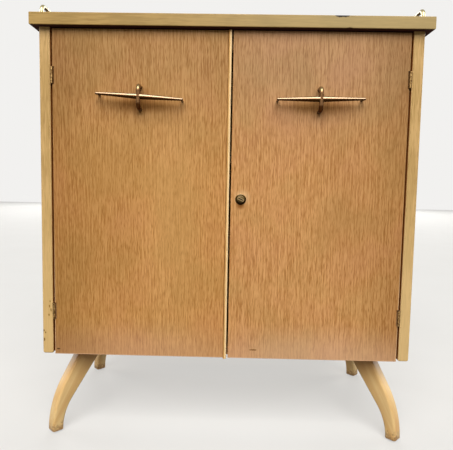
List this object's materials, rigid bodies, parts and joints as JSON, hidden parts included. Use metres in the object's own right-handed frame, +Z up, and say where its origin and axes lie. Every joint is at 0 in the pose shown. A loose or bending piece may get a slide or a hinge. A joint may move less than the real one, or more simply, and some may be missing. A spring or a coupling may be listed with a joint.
{
  "type": "media cabinet",
  "caption": "Two-door wooden media cabinet on splayed sabre legs, with bar handles, brass gallery rails, shelves, a cylinder lock and a door bolt.",
  "frame": {"origin": "on the floor under the middle of the cabinet's overall width and depth", "axes": "+X to the viewer's right, +Y from the doors towards the back, +Z up"},
  "size_m": [0.914, 0.472, 1.034],
  "materials": {
    "top_veneer": "satin lacquer over oak veneer",
    "oak_lipping": "satin lacquered solid oak",
    "case_veneer": "satin lacquer over oak veneer",
    "door_veneer": "satin lacquer over oak veneer, vertical grain",
    "inside_board": "thin lacquer over plain veneer",
    "back_board": "unfinished hardboard",
    "leg_wood": "satin lacquered beech",
    "rail_wood": "planed softwood",
    "polished_brass": "polished and lacquered, slightly tarnished",
    "aged_brass": "dark aged brass",
    "zinc_steel": "zinc plated steel",
    "catch_plastic": "moulded nylon",
    "felt": "pressed felt"
  },
  "bodies": {
    "case": {"top_panel": "top_veneer", "top_front_lipping": "oak_lipping", "top_left_lipping": "oak_lipping", "top_right_lipping": "oak_lipping", "left_side_panel": "case_veneer", "right_side_panel": "case_veneer", "left_side_lipping": "oak_lipping", "right_side_lipping": "oak_lipping", "floor_panel": "inside_board", "back_panel": "back_board", "back_panel_screws": "zinc_steel", "front_top_rail": "rail_wood", "rear_top_rail": "rail_wood", "top_screws": "zinc_steel", "case_dowels": "rail_wood", "lower_shelf": "inside_board", "upper_shelf": "inside_board", "shelf_supports": "zinc_steel", "front_left_leg": "leg_wood", "front_right_leg": "leg_wood", "back_left_leg": "leg_wood", "back_right_leg": "leg_wood", "leg_blocks": "rail_wood", "leg_block_screws": "zinc_steel", "leg_bolts": "zinc_steel", "leg_glides": "zinc_steel", "left_gallery_rail": "polished_brass", "right_gallery_rail": "polished_brass", "gallery_rosettes": "polished_brass", "hinge_frame_leaves": "aged_brass", "hinge_frame_screws": "aged_brass", "hinge_pins": "aged_brass", "magnetic_catches": "catch_plastic", "catch_screws": "zinc_steel", "bolt_keeper": "aged_brass", "door_buffers": "felt"},
    "left_door": {"left_door_panel": "door_veneer", "meeting_strip": "oak_lipping", "left_hinge_door_leaves": "aged_brass", "left_hinge_door_screws": "aged_brass", "left_handle_bow": "polished_brass", "left_handle_bar": "polished_brass", "left_handle_screws": "zinc_steel", "left_catch_plate": "zinc_steel", "left_fitting_screws": "aged_brass", "lock_keeper": "aged_brass", "bolt_plate": "aged_brass"},
    "right_door": {"right_door_panel": "door_veneer", "right_hinge_door_leaves": "aged_brass", "right_hinge_door_screws": "aged_brass", "right_handle_bow": "polished_brass", "right_handle_bar": "polished_brass", "right_handle_screws": "zinc_steel", "right_catch_plate": "zinc_steel", "right_fitting_screws": "aged_brass", "lock_housing": "aged_brass", "lock_nut": "zinc_steel"},
    "door_bolt": {"left_door_bolt": "aged_brass"},
    "lock": {"lock_plug": "aged_brass", "lock_cam": "zinc_steel"}
  },
  "joints": [
    {"name": "left_door_hinge", "type": "hinge", "parent": "case", "child": "left_door", "pos_m": [-0.4123, -0.2055, 0.57], "axis": [0, 0, -1], "range_deg": [0, 175]},
    {"name": "right_door_hinge", "type": "hinge", "parent": "case", "child": "right_door", "pos_m": [0.4123, -0.2055, 0.57], "axis": [0, 0, 1], "range_deg": [0, 175]},
    {"name": "door_bolt_slide", "type": "slide", "parent": "left_door", "child": "door_bolt", "axis": [0, 0, 1], "range_m": [0, 0.01]},
    {"name": "lock_turn", "type": "hinge", "parent": "right_door", "child": "lock", "pos_m": [0.0306, -0.2, 0.588], "axis": [0, 1, 0], "range_deg": [0, 90]}
  ]
}
